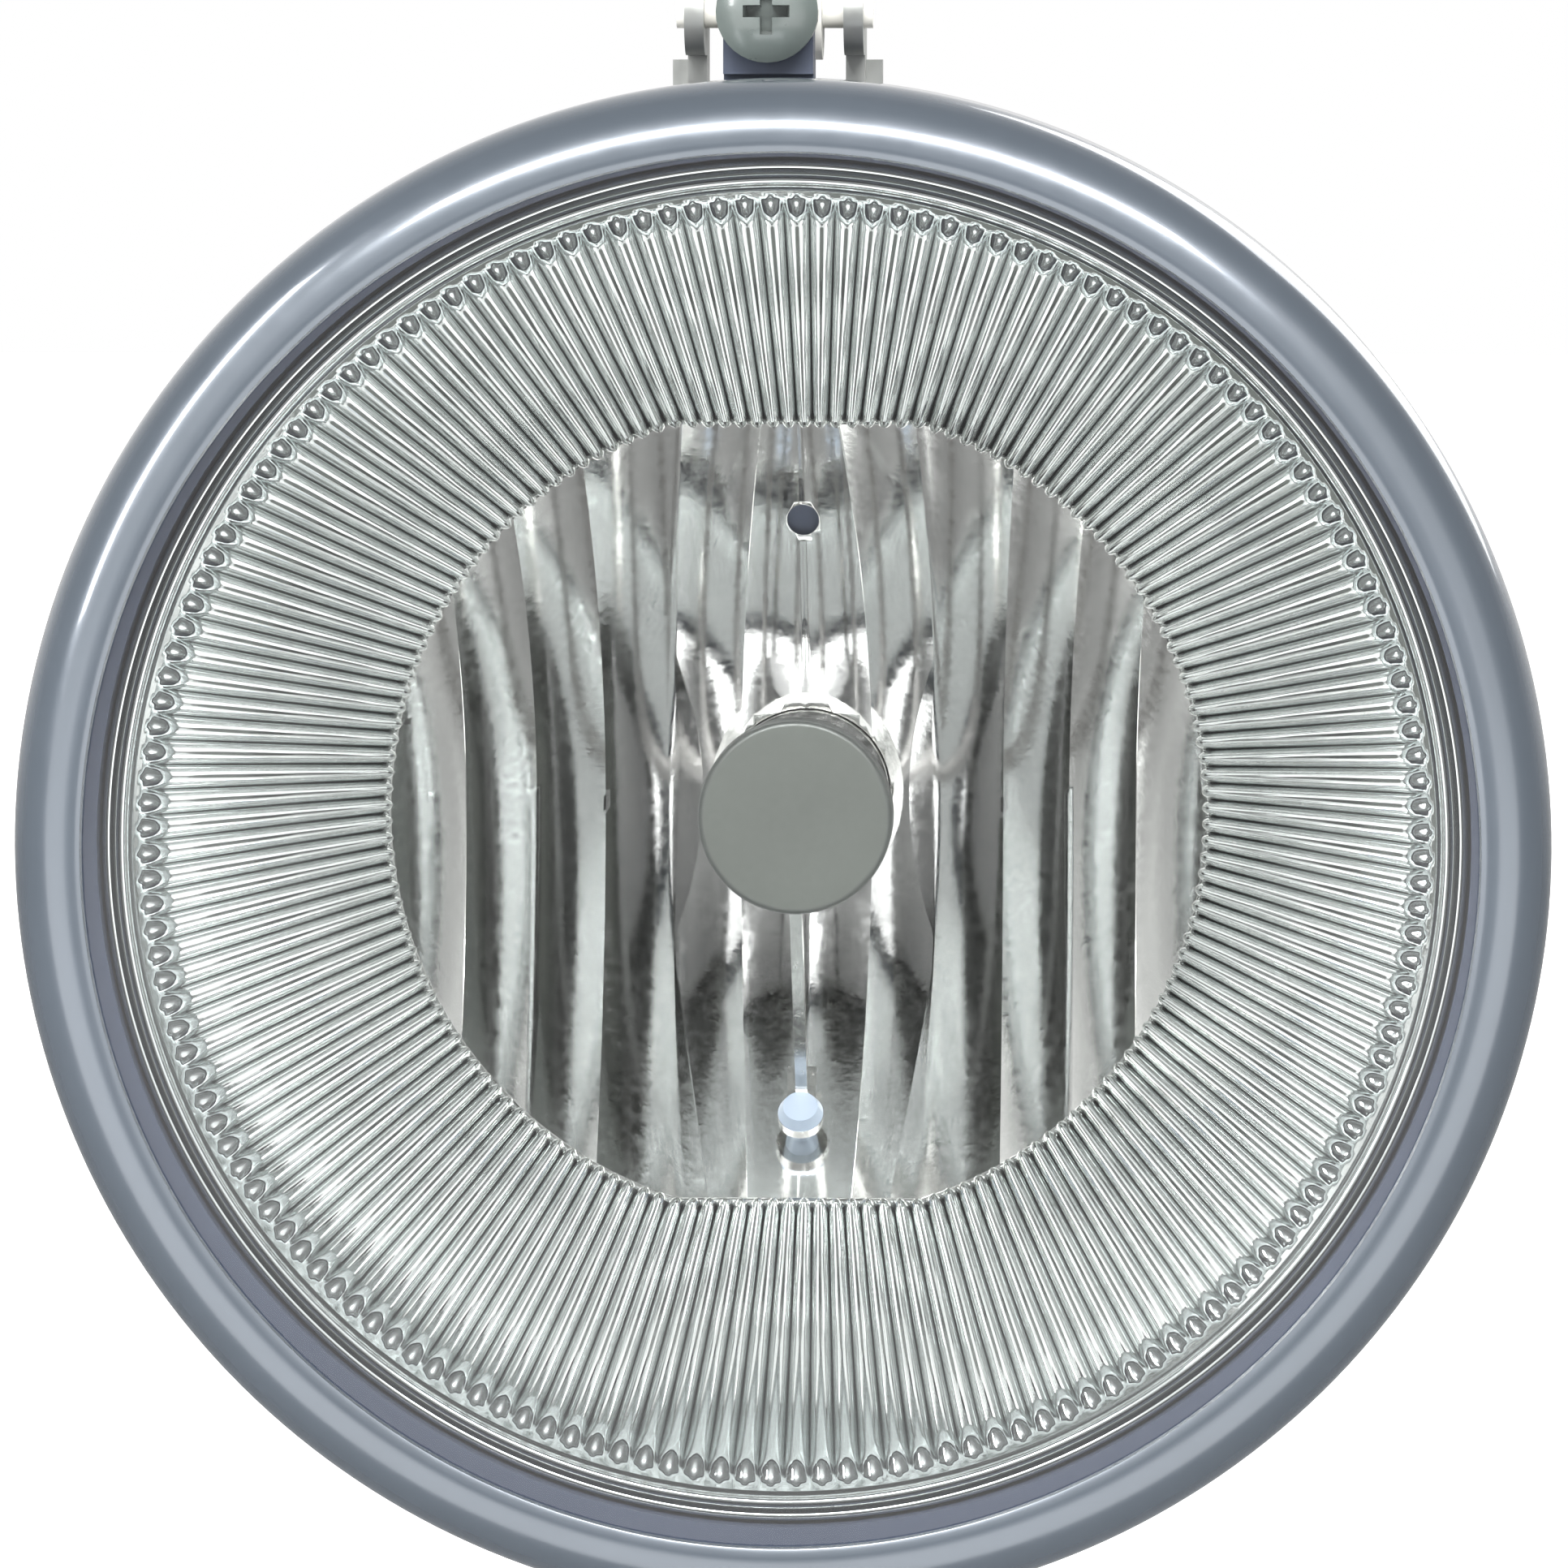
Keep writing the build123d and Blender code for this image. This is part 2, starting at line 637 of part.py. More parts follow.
with BuildPart() as bulb_base:
    plug_profile = outline(
        (0, plug_front_y),
        (plug_radius, plug_front_y),
        (plug_radius, o_ring_front_y),
        (o_ring_bed_radius, o_ring_front_y),
        (o_ring_bed_radius, o_ring_front_y + o_ring_section),
        (plug_radius, o_ring_front_y + o_ring_section),
        (plug_radius, bulb_flange_front_y),
        (bulb_flange_radius, bulb_flange_front_y),
        (bulb_flange_radius, bulb_flange_rear_y),
        (0, bulb_flange_rear_y),
    )
    revolve(plug_profile, axis=Axis.Y)
    with BuildSketch(facing_y(lug_front_y)):
        for index in range(lug_count):
            add(sector(plug_radius - lug_height, lug_radius, index * lug_pitch, lug_angle))
    extrude(amount=-lug_thickness)
    # The connector socket, which points down, with a well round its two blades
    with BuildSketch(facing_y(bulb_flange_rear_y)):
        Circle(socket_width / 2)
        with Locations((0, -socket_drop / 2)):
            Rectangle(socket_width, socket_drop)
    extrude(amount=-socket_depth)
    rear_corners = bulb_base.edges().filter_by(Axis.Z).group_by(Axis.Y)[-1]
    fillet(rear_corners, radius=socket_wall)
    with BuildSketch(Plane.XY.offset(-socket_drop)):
        with Locations((0, socket_middle_y)):
            RectangleRounded(
                socket_width - 2 * socket_wall, socket_depth - 2 * socket_wall, socket_wall / 2
            )
    extrude(amount=socket_well, mode=Mode.SUBTRACT)
    add(blades, mode=Mode.SUBTRACT)
    # Holes for the lead wires
    with BuildSketch(facing_y(plug_front_y)):
        with GridLocations(2 * lead_x, 1, 2, 1):
            Circle(lead_radius)
    extrude(amount=-lead_root, mode=Mode.SUBTRACT)
bulb_base.part.label = "bulb_base"

with BuildPart() as bulb_terminals:
    add(blades)
bulb_terminals.part.label = "bulb_terminals"

with BuildPart() as bulb_seal:
    seal_ring = outline(
        (o_ring_bed_radius, o_ring_front_y),
        (neck_bore_radius - pivot_gap, o_ring_front_y),
        (neck_bore_radius - pivot_gap, o_ring_front_y + o_ring_section),
        (o_ring_bed_radius, o_ring_front_y + o_ring_section),
    )
    revolve(seal_ring, axis=Axis.Y)
bulb_seal.part.label = "bulb_seal"

with BuildPart() as bulb_collar:
    collar_profile = outline(
        (glass_radius, plug_front_y - pinch_length),
        (bulb_collar_radius, plug_front_y - pinch_length),
        (bulb_collar_radius, plug_front_y),
        (glass_radius, plug_front_y),
    )
    revolve(collar_profile, axis=Axis.Y)
bulb_collar.part.label = "bulb_collar"

with BuildPart() as bulb_glass:
    with BuildSketch(Plane.XY):
        with BuildLine():
            Polyline(
                (0, plug_front_y),
                (glass_radius, plug_front_y),
                (glass_radius, glass_tip_y + glass_radius),
            )
            ThreePointArc(
                (glass_radius, glass_tip_y + glass_radius),
                (glass_radius * cos(radians(45)), glass_tip_y + glass_radius * half_turn_in),
                (0, glass_tip_y),
            )
            Line((0, glass_tip_y), (0, glass_tip_y + glass_wall))
            ThreePointArc(
                (0, glass_tip_y + glass_wall),
                (
                    glass_inner_radius * cos(radians(45)),
                    glass_tip_y + glass_wall + glass_inner_radius * half_turn_in,
                ),
                (glass_inner_radius, glass_tip_y + glass_radius),
            )
            Polyline(
                (glass_inner_radius, glass_tip_y + glass_radius),
                (glass_inner_radius, plug_front_y - pinch_length),
                (0, plug_front_y - pinch_length),
                (0, plug_front_y),
            )
        make_face()
    revolve(axis=Axis.Y)
    with BuildSketch(facing_y(plug_front_y)):
        with GridLocations(2 * lead_x, 1, 2, 1):
            Circle(lead_radius)
    extrude(amount=pinch_length, mode=Mode.SUBTRACT)
bulb_glass.part.label = "bulb_glass"

with BuildPart() as bulb_filament:
    with BuildSketch(Plane.YZ.offset(-lead_x)):
        with Locations((filament_y, 0)):
            Circle(filament_radius)
    extrude(amount=filament_length)
bulb_filament.part.label = "bulb_filament"

with BuildPart() as bulb_lead_wires:
    with BuildSketch(facing_y(filament_y + filament_radius)):
        with GridLocations(2 * lead_x, 1, 2, 1):
            Circle(lead_radius)
    extrude(amount=-(plug_front_y + lead_root - filament_y - filament_radius))
bulb_lead_wires.part.label = "bulb_lead_wires"

# ---- Bracket ----
with BuildPart() as mounting_bracket:
    with BuildSketch(facing_y(-sheet)):
        Circle(ring_radius)
        Circle(ring_inner_radius, mode=Mode.SUBTRACT)
        Rectangle(2 * (boss_x + boss_relief), 2 * (boss_radius + boss_relief), mode=Mode.SUBTRACT)
        with PolarLocations(stud_circle_radius, stud_count, start_angle=45):
            Circle(stud_knurl_radius, mode=Mode.SUBTRACT)
    extrude(amount=-sheet)
    # The arms that carry the pivots
    for side in (-1, 1):
        with BuildSketch(Plane.YZ.offset(side * arm_inner_x)):
            with Locations((pivot_y, 0)):
                Circle(arm_width / 2)
            with Locations((pivot_y / 2, 0)):
                Rectangle(-pivot_y, arm_width)
            with Locations((pivot_y, 0)):
                Circle(bush_radius, mode=Mode.SUBTRACT)
        extrude(amount=side * sheet)
    # The two posts that carry the adjuster's nut, and their feet
    for side in (-1, 1):
        with BuildSketch(Plane.YZ.offset(adjuster_x + side * post_inner)):
            with Locations((-post_depth / 2, (post_foot_z + adjuster_z) / 2)):
                Rectangle(post_depth, adjuster_z - post_foot_z)
            with Locations((pivot_y, adjuster_z)):
                Circle(post_ear_radius)
            with Locations((pivot_y / 2, adjuster_z)):
                Rectangle(-pivot_y, 2 * post_ear_radius)
            with Locations((pivot_y, adjuster_z)):
                Circle(nut_pin_radius + nut_pin_gap, mode=Mode.SUBTRACT)
        extrude(amount=side * post_thickness)
        foot_x = adjuster_x + side * (post_inner + post_foot_width / 2)
        with BuildSketch(facing_y(-sheet)):
            with Locations((foot_x, (post_foot_z + post_foot_top_z) / 2)):
                Rectangle(post_foot_width, post_foot_top_z - post_foot_z)
        extrude(amount=-sheet)
mounting_bracket.part.label = "mounting_bracket"

with BuildPart() as mounting_studs:
    with BuildSketch(facing_y(-sheet - stud_head_height)):
        with PolarLocations(stud_circle_radius, stud_count, start_angle=45):
            Circle(stud_head_radius)
    extrude(amount=-stud_head_height)
    with BuildSketch(facing_y(-sheet)):
        with PolarLocations(stud_circle_radius, stud_count, start_angle=45):
            Circle(stud_knurl_radius)
    extrude(amount=-sheet)
    with BuildSketch(facing_y(0)):
        with PolarLocations(stud_circle_radius, stud_count, start_angle=45):
            Circle(stud_radius)
    extrude(amount=-stud_length)
    chamfer(mounting_studs.faces().group_by(Axis.Y)[-1].edges(), length=stud_chamfer)
mounting_studs.part.label = "mounting_studs"

# ---- Pivots ----
pivot_plane = Plane(origin=(0, pivot_y, 0))
pivot_axis = Axis((0, pivot_y, 0), (1, 0, 0))
with BuildPart() as pivot_bush_right:
    bush_profile = outline(
        (bush_inner_x, bush_bore_radius),
        (bush_outer_x, bush_bore_radius),
        (bush_outer_x, bush_radius),
        (arm_inner_x, bush_radius),
        (arm_inner_x, bush_bore_radius + bush_flange_width),
        (bush_inner_x, bush_bore_radius + bush_flange_width),
        plane=pivot_plane,
    )
    revolve(bush_profile, axis=pivot_axis)
pivot_bush_right.part.label = "pivot_bush_right"

with BuildPart() as pivot_screw_right:
    pivot_profile = outline(
        (boss_x - pivot_thread_length, 0),
        (boss_x - pivot_thread_length, pivot_thread_radius),
        (boss_x, pivot_thread_radius),
        (boss_x, pivot_shoulder_radius),
        (pivot_head_x, pivot_shoulder_radius),
        (pivot_head_x, pivot_head_radius),
        (pivot_head_x + pivot_head_height, pivot_head_radius - pivot_head_taper),
        (pivot_head_x + pivot_head_height, 0),
        plane=pivot_plane,
    )
    revolve(pivot_profile, axis=pivot_axis)
    with BuildSketch(Plane.YZ.offset(pivot_head_x + pivot_head_height)):
        with Locations((pivot_y, 0)):
            RegularPolygon(hex_across_flats / 2, 6, major_radius=False)
    extrude(amount=-hex_depth, mode=Mode.SUBTRACT)
pivot_screw_right.part.label = "pivot_screw_right"

with BuildPart() as pivot_bush_left:
    mirror(pivot_bush_right.part, about=Plane.YZ)
pivot_bush_left.part.label = "pivot_bush_left"

with BuildPart() as pivot_screw_left:
    mirror(pivot_screw_right.part, about=Plane.YZ)
pivot_screw_left.part.label = "pivot_screw_left"

# ---- Adjuster ----
adjuster_plane = Plane(origin=(adjuster_x, 0, adjuster_z))
adjuster_axis = Axis((adjuster_x, 0, adjuster_z), (0, 1, 0))
half_head = screw_head_radius / 2
head_dome_radius = (screw_head_radius**2 + screw_dome**2) / (2 * screw_dome)
with BuildPart() as adjuster_screw:
    screw_profile = outline(
        (0, head_front_y + screw_dome),
        (screw_head_radius, head_front_y + screw_dome),
        (screw_head_radius, washer_front_y),
        (neck_radius, washer_front_y),
        (neck_radius, eye_rear_y + clip_gap),
        (clip_bed_radius, eye_rear_y + clip_gap),
        (clip_bed_radius, clip_rear_y),
        (screw_radius, clip_rear_y),
        (screw_radius, screw_end_y - screw_point),
        (screw_radius - screw_point, screw_end_y),
        (0, screw_end_y),
        plane=adjuster_plane,
    )
    revolve(screw_profile, axis=adjuster_axis)
    # The domed top of its head
    with BuildSketch(adjuster_plane):
        with BuildLine():
            ThreePointArc(
                (0, head_front_y),
                (half_head, dome_y(half_head, head_front_y, head_dome_radius)),
                (screw_head_radius, head_front_y + screw_dome),
            )
            Polyline(
                (screw_head_radius, head_front_y + screw_dome),
                (0, head_front_y + screw_dome),
                (0, head_front_y),
            )
        make_face()
    revolve(axis=adjuster_axis)
    with BuildSketch(facing_y(head_front_y)):
        with Locations((adjuster_x, adjuster_z)):
            Rectangle(recess_length, recess_width)
            Rectangle(recess_width, recess_length)
    extrude(amount=-recess_depth, mode=Mode.SUBTRACT)
adjuster_screw.part.label = "adjuster_screw"

with BuildPart() as adjuster_washer:
    with BuildSketch(facing_y(washer_front_y)):
        with Locations((adjuster_x, adjuster_z)):
            Circle(washer_radius)
            Circle(neck_radius + neck_gap, mode=Mode.SUBTRACT)
    extrude(amount=-washer_thickness)
adjuster_washer.part.label = "adjuster_washer"

with BuildPart() as adjuster_clip:
    with BuildSketch(facing_y(eye_rear_y + clip_gap)):
        with Locations((adjuster_x, adjuster_z)):
            Circle(clip_radius)
            Circle(clip_bed_radius, mode=Mode.SUBTRACT)
        with Locations((adjuster_x, adjuster_z + clip_radius)):
            Rectangle(clip_mouth, 2 * clip_radius, mode=Mode.SUBTRACT)
    extrude(amount=-clip_thickness)
adjuster_clip.part.label = "adjuster_clip"

with BuildPart() as adjuster_nut:
    with BuildSketch(Plane.YZ.offset(adjuster_x)):
        with Locations((pivot_y, adjuster_z)):
            Circle(nut_radius)
    extrude(amount=nut_width / 2, both=True)
    with BuildSketch(Plane.YZ.offset(adjuster_x)):
        with Locations((pivot_y, adjuster_z)):
            Circle(nut_pin_radius)
    extrude(amount=pin_half_length, both=True)
    with BuildSketch(facing_y(pivot_y - nut_radius)):
        with Locations((adjuster_x, adjuster_z)):
            Circle(screw_radius + screw_gap)
    extrude(amount=-2 * nut_radius, mode=Mode.SUBTRACT)
adjuster_nut.part.label = "adjuster_nut"

pieces = (
    lens,
    lens_seal,
    housing,
    vent_elbow,
    fluted_bezel,
    reflector,
    shield_cap,
    shield_strap,
    shield_rivet,
    bulb_base,
    bulb_terminals,
    bulb_seal,
    bulb_collar,
    bulb_glass,
    bulb_filament,
    bulb_lead_wires,
    mounting_bracket,
    mounting_studs,
    pivot_bush_left,
    pivot_bush_right,
    pivot_screw_left,
    pivot_screw_right,
    adjuster_screw,
    adjuster_washer,
    adjuster_clip,
    adjuster_nut,
)
os.makedirs("parts", exist_ok=True)
for piece in pieces:
    export_step(piece.part, f"parts/{piece.part.label}.step")
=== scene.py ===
import math

import bmesh
import bpy
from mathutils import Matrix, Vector


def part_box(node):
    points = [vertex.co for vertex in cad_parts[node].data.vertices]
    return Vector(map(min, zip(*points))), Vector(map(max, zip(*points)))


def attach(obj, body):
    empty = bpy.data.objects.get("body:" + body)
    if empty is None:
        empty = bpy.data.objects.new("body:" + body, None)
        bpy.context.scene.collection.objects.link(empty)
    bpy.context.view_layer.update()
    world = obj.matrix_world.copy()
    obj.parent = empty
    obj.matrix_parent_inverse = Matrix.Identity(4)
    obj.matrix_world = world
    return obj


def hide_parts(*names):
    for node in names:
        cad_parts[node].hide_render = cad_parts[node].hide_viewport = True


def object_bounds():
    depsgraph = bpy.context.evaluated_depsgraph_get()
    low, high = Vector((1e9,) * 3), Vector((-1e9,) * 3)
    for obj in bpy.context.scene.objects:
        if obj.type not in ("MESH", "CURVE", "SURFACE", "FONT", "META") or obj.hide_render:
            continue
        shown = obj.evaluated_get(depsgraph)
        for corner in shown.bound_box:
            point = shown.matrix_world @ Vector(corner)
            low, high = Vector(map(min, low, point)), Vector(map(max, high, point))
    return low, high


# A round bumper fog lamp.  Metres, +Z up, and the lamp shines towards -Y.
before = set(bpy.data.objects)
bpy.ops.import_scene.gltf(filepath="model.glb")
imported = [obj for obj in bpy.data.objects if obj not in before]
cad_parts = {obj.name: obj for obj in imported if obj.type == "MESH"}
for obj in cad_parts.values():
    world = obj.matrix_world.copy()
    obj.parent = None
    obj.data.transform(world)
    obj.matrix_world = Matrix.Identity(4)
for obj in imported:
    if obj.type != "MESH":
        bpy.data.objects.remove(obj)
cad_low, cad_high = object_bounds()
TURN = 2 * math.pi


def mm(value):
    return value / 1000


# ---- Places read from the frame ----
lens_low, lens_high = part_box("lens")
bezel_low, bezel_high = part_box("fluted_bezel")
reflector_low, reflector_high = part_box("reflector")
cap_low, cap_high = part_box("shield_cap")
screw_low, screw_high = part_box("adjuster_screw")
glass_low, glass_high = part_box("bulb_glass")
stud_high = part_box("mounting_studs")[1]
filament_low, filament_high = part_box("bulb_filament")

lens_radius = lens_high.x
skirt_depth = mm(6.0)
rim_y = lens_high.y - skirt_depth
adjuster_x = (screw_low.x + screw_high.x) / 2
adjuster_z = (screw_low.z + screw_high.z) / 2


# ---- Mesh helpers ----
def new_object(name, mesh, material, body, nodes=()):
    """Puts a finished mesh in the scene as a piece that rides on a body and stands for CAD nodes."""
    piece = bpy.data.objects.new(name, mesh)
    bpy.context.scene.collection.objects.link(piece)
    for item in material if isinstance(material, (list, tuple)) else (material,):
        piece.data.materials.append(item)
    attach(piece, body)
    if nodes:
        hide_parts(*nodes)
    return piece


def shade_by_angle(mesh, degrees):
    """Smooth shading, with a crease wherever two faces meet at more than the angle."""
    mesh.polygons.foreach_set("use_smooth", [True] * len(mesh.polygons))
    mesh.set_sharp_from_angle(angle=math.radians(degrees))


def clean(mesh):
    """Joins points that lie together and turns all faces outwards."""
    shaped = bmesh.new()
    shaped.from_mesh(mesh)
    bmesh.ops.remove_doubles(shaped, verts=shaped.verts, dist=1e-7)
    bmesh.ops.recalc_face_normals(shaped, faces=shaped.faces)
    shaped.to_mesh(mesh)
    shaped.free()


def mesh_of(name, points, faces, crease=35):
    mesh = bpy.data.meshes.new(name)
    mesh.from_pydata(points, [], faces)
    clean(mesh)
    shade_by_angle(mesh, crease)
    return mesh


def lathe(name, profile, steps=192, origin=(0, 0, 0), axis="Y", crease=35):
    """Turns a profile of (radius, place along the axis) once round the axis through origin."""
    points = []
    faces = []
    rows = len(profile)
    for step in range(steps):
        angle = TURN * step / steps
        across, up = math.cos(angle), math.sin(angle)
        for radius, along in profile:
            if axis == "Y":
                point = (radius * across, along, radius * up)
            else:
                point = (along, radius * across, radius * up)
            points.append(Vector(point) + Vector(origin))
    for step in range(steps):
        here, there = step * rows, (step + 1) % steps * rows
        for row in range(rows):
            following = (row + 1) % rows
            faces.append((here + row, there + row, there + following, here + following))
    return mesh_of(name, points, faces, crease)


def arc(centre, radius, start, end, steps=8):
    """Points of an arc in a profile's plane, with angles in degrees from the radius direction."""
    points = []
    for step in range(steps + 1):
        angle = math.radians(start + (end - start) * step / steps)
        points.append((centre[0] + radius * math.cos(angle), centre[1] + radius * math.sin(angle)))
    return points


# ---- Materials ----
def principled(name, colour, roughness, metallic=0.0, coat=0.0, ior=1.5):
    material = bpy.data.materials.new(name)
    material.use_nodes = True
    shader = material.node_tree.nodes["Principled BSDF"]
    shader.inputs["Base Color"].default_value = (*colour, 1)
    shader.inputs["Roughness"].default_value = roughness
    shader.inputs["Metallic"].default_value = metallic
    shader.inputs["Coat Weight"].default_value = coat
    shader.inputs["Coat Roughness"].default_value = 0.06
    shader.inputs["IOR"].default_value = ior
    return material, shader


def math_node(tree, operation, *values):
    """A Math node, whose values are numbers or other nodes' outputs."""
    node = tree.nodes.new("ShaderNodeMath")
    node.operation = operation
    for index, value in enumerate(values):
        if isinstance(value, (int, float)):
            node.inputs[index].default_value = value
        else:
            tree.links.new(value, node.inputs[index])
    return node.outputs["Value"]


def map_range(tree, value, low, high, to_low, to_high, smooth=False):
    """Value taken from the range low to high to another range, and held at its ends."""
    node = tree.nodes.new("ShaderNodeMapRange")
    if smooth:
        node.interpolation_type = "SMOOTHSTEP"
    for name, number in (("From Min", low), ("From Max", high), ("To Min", to_low), ("To Max", to_high)):
        if isinstance(number, (int, float)):
            node.inputs[name].default_value = number
        else:
            tree.links.new(number, node.inputs[name])
    tree.links.new(value, node.inputs["Value"])
    return node.outputs["Result"]


def noise(tree, scale, detail=3.0, stretch=(1, 1, 1)):
    """A noise value in object space, drawn out along an axis where stretch is below 1."""
    nodes, links = tree.nodes, tree.links
    place = nodes.new("ShaderNodeTexCoord")
    mapping = nodes.new("ShaderNodeMapping")
    mapping.inputs["Scale"].default_value = stretch
    texture = nodes.new("ShaderNodeTexNoise")
    texture.inputs["Scale"].default_value = scale
    texture.inputs["Detail"].default_value = detail
    links.new(place.outputs["Object"], mapping.inputs["Vector"])
    links.new(mapping.outputs["Vector"], texture.inputs["Vector"])
    return texture.outputs["Fac"]


def ramp(tree, value, low, high, low_at=0.3, high_at=0.7):
    """A colour that goes from low to high as value goes from low_at to high_at."""
    node = tree.nodes.new("ShaderNodeValToRGB")
    node.color_ramp.elements[0].position = low_at
    node.color_ramp.elements[0].color = (*low, 1)
    node.color_ramp.elements[1].position = high_at
    node.color_ramp.elements[1].color = (*high, 1)
    tree.links.new(value, node.inputs["Fac"])
    return node.outputs["Color"]


def spread(tree, value, low, high):
    """A number that goes from low to high as value goes over the middle of a noise."""
    node = tree.nodes.new("ShaderNodeMapRange")
    node.inputs["From Min"].default_value = 0.3
    node.inputs["From Max"].default_value = 0.7
    node.inputs["To Min"].default_value = low
    node.inputs["To Max"].default_value = high
    tree.links.new(value, node.inputs["Value"])
    return node.outputs["Result"]


def bump(tree, shader, value, depth, strength=1.0):
    node = tree.nodes.new("ShaderNodeBump")
    node.inputs["Distance"].default_value = depth
    node.inputs["Strength"].default_value = strength
    tree.links.new(value, node.inputs["Height"])
    tree.links.new(node.outputs["Normal"], shader.inputs["Normal"])


def worn(name, colour, other, roughness, metallic=0.0, coat=0.0, grain=900, depth=mm(0.02), blotch=40,
         stretch=(1, 1, 1)):
    """A moulded, cast or plated finish: two close colours in soft patches over a fine grain."""
    material, shader = principled(name, colour, sum(roughness) / 2, metallic, coat)
    tree = material.node_tree
    patches = noise(tree, blotch, 4.0, stretch)
    fine = noise(tree, grain, 2.0, stretch)
    tree.links.new(ramp(tree, patches, colour, other), shader.inputs["Base Color"])
    tree.links.new(spread(tree, fine, *roughness), shader.inputs["Roughness"])
    bump(tree, shader, fine, depth, 0.5)
    return material


def clear_plastic(name, tint, roughness):
    """A clear skin: it shows what is behind it, and mirrors more towards its edges."""
    material = bpy.data.materials.new(name)
    material.use_nodes = True
    tree = material.node_tree
    nodes, links = tree.nodes, tree.links
    nodes.clear()
    output = nodes.new("ShaderNodeOutputMaterial")
    mix = nodes.new("ShaderNodeMixShader")
    through = nodes.new("ShaderNodeBsdfTransparent")
    through.inputs["Color"].default_value = (*tint, 1)
    gloss = nodes.new("ShaderNodeBsdfGlossy")
    gloss.inputs["Roughness"].default_value = roughness
    gloss.inputs["Color"].default_value = (1, 1, 1, 1)
    fresnel = nodes.new("ShaderNodeFresnel")
    fresnel.inputs["IOR"].default_value = 1.45
    side = nodes.new("ShaderNodeNewGeometry")
    entering = math_node(tree, "SUBTRACT", 1.0, side.outputs["Backfacing"])
    links.new(math_node(tree, "MULTIPLY", fresnel.outputs["Fac"], entering), mix.inputs["Fac"])
    links.new(through.outputs["BSDF"], mix.inputs[1])
    links.new(gloss.outputs["BSDF"], mix.inputs[2])
    links.new(mix.outputs["Shader"], output.inputs["Surface"])
    return material


chrome = worn("bezel_chrome", (0.60, 0.625, 0.62), (0.54, 0.565, 0.56), (0.03, 0.07), metallic=1.0,
              grain=2600,
              depth=mm(0.002), blotch=90)
mirror_metal = worn("reflector_mirror", (0.95, 0.95, 0.935), (0.90, 0.90, 0.885), (0.06, 0.13),
                    metallic=1.0,
                    grain=1500, depth=mm(0.008), blotch=120)
lens_clear = clear_plastic("lens_clear", (0.985, 0.99, 0.99), 0.01)
quartz_clear = clear_plastic("quartz_clear", (0.97, 0.97, 0.97), 0.01)
rim_plastic = worn("lens_rim", (0.080, 0.094, 0.112), (0.072, 0.085, 0.101), (0.20, 0.26), metallic=0.30,
                   coat=0.8, grain=500, depth=mm(0.002))
collar_plastic = worn("housing_plastic", (0.050, 0.062, 0.095), (0.042, 0.052, 0.080), (0.35, 0.5),
                      grain=1400)
cap_metal = worn("shield_metal", (0.072, 0.078, 0.070), (0.065, 0.070, 0.063), (0.55, 0.65), metallic=0.1,
                 grain=2200, depth=mm(0.01), blotch=200)
cap_edge = worn("shield_edge", (0.10, 0.105, 0.10), (0.08, 0.085, 0.08), (0.35, 0.5), metallic=0.6,
                grain=2200)
bright_metal = worn("bulb_metal", (0.80, 0.80, 0.78), (0.72, 0.72, 0.70), (0.15, 0.28),
                    metallic=1.0, grain=1800)
sealant = worn("sealant_black", (0.03, 0.032, 0.04), (0.02, 0.02, 0.03), (0.5, 0.7), grain=700)
galvanised = worn("bracket_zinc", (0.46, 0.47, 0.45), (0.34, 0.35, 0.34), (0.30, 0.48),
                  metallic=0.75, grain=500,
                  depth=mm(0.02), blotch=130)
zinc = worn("zinc_plate", (0.62, 0.61, 0.57), (0.5, 0.5, 0.5), (0.22, 0.38), metallic=1.0, grain=1200)
pale_peg = worn("rivet_plate", (0.34, 0.40, 0.47), (0.28, 0.33, 0.40), (0.3, 0.4), metallic=0.3, grain=1800)
screw_plastic = worn("screw_plastic", (0.105, 0.125, 0.118), (0.075, 0.088, 0.083), (0.26, 0.38), coat=0.3,
                     grain=700, depth=mm(0.01), blotch=250)
nylon = worn("natural_nylon", (0.80, 0.79, 0.74), (0.74, 0.73, 0.68), (0.35, 0.5), grain=900)
base_plastic = worn("base_plastic", (0.03, 0.03, 0.032), (0.022, 0.022, 0.024), (0.4, 0.55), grain=1100)
silicone = worn("silicone_seal", (0.36, 0.09, 0.04), (0.30, 0.07, 0.035), (0.4, 0.55), grain=900)
black_rubber = worn("vent_rubber", (0.022, 0.022, 0.022), (0.03, 0.03, 0.03), (0.55, 0.7), grain=900)
tungsten = worn("tungsten_wire", (0.30, 0.29, 0.28), (0.2, 0.2, 0.2), (0.3, 0.45), metallic=1.0, grain=2500)
brass = worn("tinned_brass", (0.72, 0.66, 0.48), (0.62, 0.56, 0.40), (0.2, 0.32), metallic=1.0, grain=1500)


